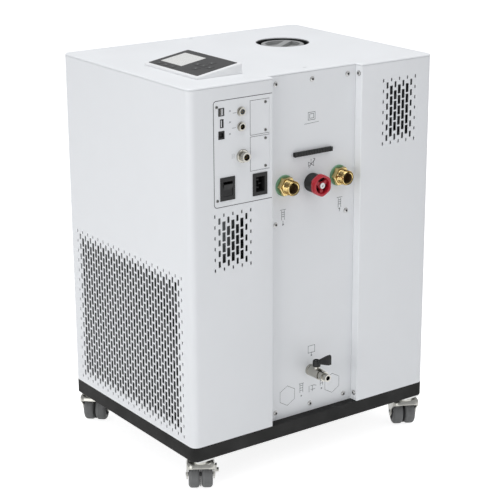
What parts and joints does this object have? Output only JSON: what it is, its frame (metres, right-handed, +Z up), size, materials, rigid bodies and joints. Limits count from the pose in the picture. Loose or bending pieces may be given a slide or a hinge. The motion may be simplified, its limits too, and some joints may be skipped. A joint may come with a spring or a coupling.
{
  "type": "process thermostat",
  "caption": "Tall white cabinet on swivel castors that cools and heats a liquid, with perforated covers, brass hose connections, bypass handwheel, drain valve and sloping keypad on top.",
  "frame": {"origin": "middle of the whole outline at floor level, castors and drain lever included", "axes": "+Z up from the floor, +X to the side with the hose connections, -Y to the perforated front"},
  "size_m": [0.5056, 0.5726, 0.7791],
  "materials": {
    "white_sheet": "fine-textured white powder coat",
    "white_moulding": "fine-grained white moulding",
    "black_powder_coat": "satin black powder coat",
    "black_moulding": "fine-grained black moulding",
    "keypad_film": "dark grey printed film",
    "display_glass": "pale display behind a clear window",
    "grey_moulding": "mid-grey moulding",
    "green_seal": "pale green sealing ring",
    "brass": "turned, bright",
    "red_moulding": "satin red moulding",
    "plated_steel": "zinc-plated or bare steel",
    "nickel_plate": "nickel plated, satin",
    "aluminium_fins": "bare fins",
    "cast_zinc": "die-cast, satin clear coat",
    "axle_steel": "turned steel",
    "grey_rubber": "grey non-marking tread"
  },
  "bodies": {
    "cabinet": {"base_tray": "black_powder_coat", "bypass_bonnet": "black_moulding", "castor_plates": "plated_steel", "circulation_pump": "brass", "compressor": "black_powder_coat", "condenser": "aluminium_fins", "console_housing": "white_moulding", "control_box": "plated_steel", "data_sockets": "plated_steel", "display_window": "display_glass", "drain_valve": "nickel_plate", "fan_motor": "plated_steel", "fan_shroud": "black_powder_coat", "field_connector": "nickel_plate", "filler_well": "black_moulding", "front_cover": "white_sheet", "heat_exchanger": "plated_steel", "hexagon_blanks": "white_sheet", "inner_frame": "plated_steel", "io_panel": "white_sheet", "keypad_overlay": "keypad_film", "mains_switch_frame": "black_moulding", "module_blanks": "white_sheet", "panel_grip": "black_moulding", "panel_screws": "plated_steel", "port_pipes": "plated_steel", "power_inlet": "black_moulding", "rear_cover": "white_sheet", "reservoir_tank": "plated_steel", "return_fitting": "brass", "round_sockets": "nickel_plate", "seal_rings": "green_seal", "service_panel": "white_sheet", "supply_fitting": "brass", "top_cover": "white_sheet"},
    "castor_front_right": {"castor_hood_front_right": "cast_zinc", "castor_axle_front_right": "axle_steel"},
    "castor_wheel_front_right_inner": {"castor_wheel_front_right_inner": "grey_rubber"},
    "castor_wheel_front_right_outer": {"castor_wheel_front_right_outer": "grey_rubber"},
    "brake_pedal_front_right": {"brake_pedal_front_right": "cast_zinc"},
    "castor_front_left": {"castor_hood_front_left": "cast_zinc", "castor_axle_front_left": "axle_steel"},
    "castor_wheel_front_left_inner": {"castor_wheel_front_left_inner": "grey_rubber"},
    "castor_wheel_front_left_outer": {"castor_wheel_front_left_outer": "grey_rubber"},
    "brake_pedal_front_left": {"brake_pedal_front_left": "cast_zinc"},
    "castor_rear_right": {"castor_hood_rear_right": "cast_zinc", "castor_axle_rear_right": "axle_steel"},
    "castor_wheel_rear_right_inner": {"castor_wheel_rear_right_inner": "grey_rubber"},
    "castor_wheel_rear_right_outer": {"castor_wheel_rear_right_outer": "grey_rubber"},
    "castor_rear_left": {"castor_hood_rear_left": "cast_zinc", "castor_axle_rear_left": "axle_steel"},
    "castor_wheel_rear_left_inner": {"castor_wheel_rear_left_inner": "grey_rubber"},
    "castor_wheel_rear_left_outer": {"castor_wheel_rear_left_outer": "grey_rubber"},
    "mains_switch_rocker": {"mains_switch_rocker": "black_moulding"},
    "bypass_handwheel": {"bypass_handwheel": "red_moulding", "handwheel_screw": "plated_steel"},
    "drain_lever": {"drain_lever": "black_moulding", "lever_nut": "plated_steel"},
    "fan_rotor": {"fan_rotor": "black_moulding"},
    "filler_cap": {"filler_cap": "grey_moulding"}
  },
  "joints": [
    {"name": "castor_front_right_swivel", "type": "hinge", "parent": "cabinet", "child": "castor_front_right", "pos_m": [0.18985, -0.25885, 0.06], "axis": [0, 0, 1], "continuous": true},
    {"name": "castor_wheel_front_right_inner_spin", "type": "hinge", "parent": "castor_front_right", "child": "castor_wheel_front_right_inner", "pos_m": [0.16307, -0.25601, 0.025], "axis": [0.5446, 0.8387, 0], "continuous": true},
    {"name": "castor_wheel_front_right_outer_spin", "type": "hinge", "parent": "castor_front_right", "child": "castor_wheel_front_right_outer", "pos_m": [0.17636, -0.23554, 0.025], "axis": [0.5446, 0.8387, 0], "continuous": true},
    {"name": "brake_pedal_front_right_press", "type": "hinge", "parent": "castor_front_right", "child": "brake_pedal_front_right", "pos_m": [0.17994, -0.21902, 0.04], "axis": [-0.5446, -0.8387, 0], "range_deg": [0, 20]},
    {"name": "castor_front_left_swivel", "type": "hinge", "parent": "cabinet", "child": "castor_front_left", "pos_m": [-0.19815, -0.25885, 0.06], "axis": [0, 0, 1], "continuous": true},
    {"name": "castor_wheel_front_left_inner_spin", "type": "hinge", "parent": "castor_front_left", "child": "castor_wheel_front_left_inner", "pos_m": [-0.22389, -0.25095, 0.025], "axis": [0.6947, 0.7193, 0], "continuous": true},
    {"name": "castor_wheel_front_left_outer_spin", "type": "hinge", "parent": "castor_front_left", "child": "castor_wheel_front_left_outer", "pos_m": [-0.20694, -0.2334, 0.025], "axis": [0.6947, 0.7193, 0], "continuous": true},
    {"name": "brake_pedal_front_left_press", "type": "hinge", "parent": "castor_front_left", "child": "brake_pedal_front_left", "pos_m": [-0.20028, -0.21787, 0.04], "axis": [-0.6947, -0.7193, 0], "range_deg": [0, 20]},
    {"name": "castor_rear_right_swivel", "type": "hinge", "parent": "cabinet", "child": "castor_rear_right", "pos_m": [0.18985, 0.23615, 0.06], "axis": [0, 0, 1], "continuous": true},
    {"name": "castor_wheel_rear_right_inner_spin", "type": "hinge", "parent": "castor_rear_right", "child": "castor_wheel_rear_right_inner", "pos_m": [0.16293, 0.23665, 0.025], "axis": [0.4695, 0.8829, 0], "continuous": true},
    {"name": "castor_wheel_rear_right_outer_spin", "type": "hinge", "parent": "castor_rear_right", "child": "castor_wheel_rear_right_outer", "pos_m": [0.17438, 0.25819, 0.025], "axis": [0.4695, 0.8829, 0], "continuous": true},
    {"name": "castor_rear_left_swivel", "type": "hinge", "parent": "cabinet", "child": "castor_rear_left", "pos_m": [-0.19815, 0.23615, 0.06], "axis": [0, 0, 1], "continuous": true},
    {"name": "castor_wheel_rear_left_inner_spin", "type": "hinge", "parent": "castor_rear_left", "child": "castor_wheel_rear_left_inner", "pos_m": [-0.22458, 0.24132, 0.025], "axis": [0.6157, 0.788, 0], "continuous": true},
    {"name": "castor_wheel_rear_left_outer_spin", "type": "hinge", "parent": "castor_rear_left", "child": "castor_wheel_rear_left_outer", "pos_m": [-0.20955, 0.26054, 0.025], "axis": [0.6157, 0.788, 0], "continuous": true},
    {"name": "mains_rocker_tilt", "type": "hinge", "parent": "cabinet", "child": "mains_switch_rocker", "pos_m": [0.19885, -0.20765, 0.5753], "axis": [0, 1, 0], "range_deg": [-16, 0]},
    {"name": "bypass_handwheel_turn", "type": "hinge", "parent": "cabinet", "child": "bypass_handwheel", "pos_m": [0.22135, -0.00885, 0.5515], "axis": [1, 0, 0], "range_deg": [0, 720]},
    {"name": "drain_lever_turn", "type": "hinge", "parent": "cabinet", "child": "drain_lever", "pos_m": [0.21285, -0.00885, 0.2], "axis": [0, 0, 1], "range_deg": [0, 90]},
    {"name": "fan_spin", "type": "hinge", "parent": "cabinet", "child": "fan_rotor", "pos_m": [-0.00415, -0.22135, 0.2502], "axis": [0, 1, 0], "continuous": true},
    {"name": "filler_cap_lift", "type": "slide", "parent": "cabinet", "child": "filler_cap", "axis": [0, 0, 1], "range_m": [0, 0.08]}
  ]
}
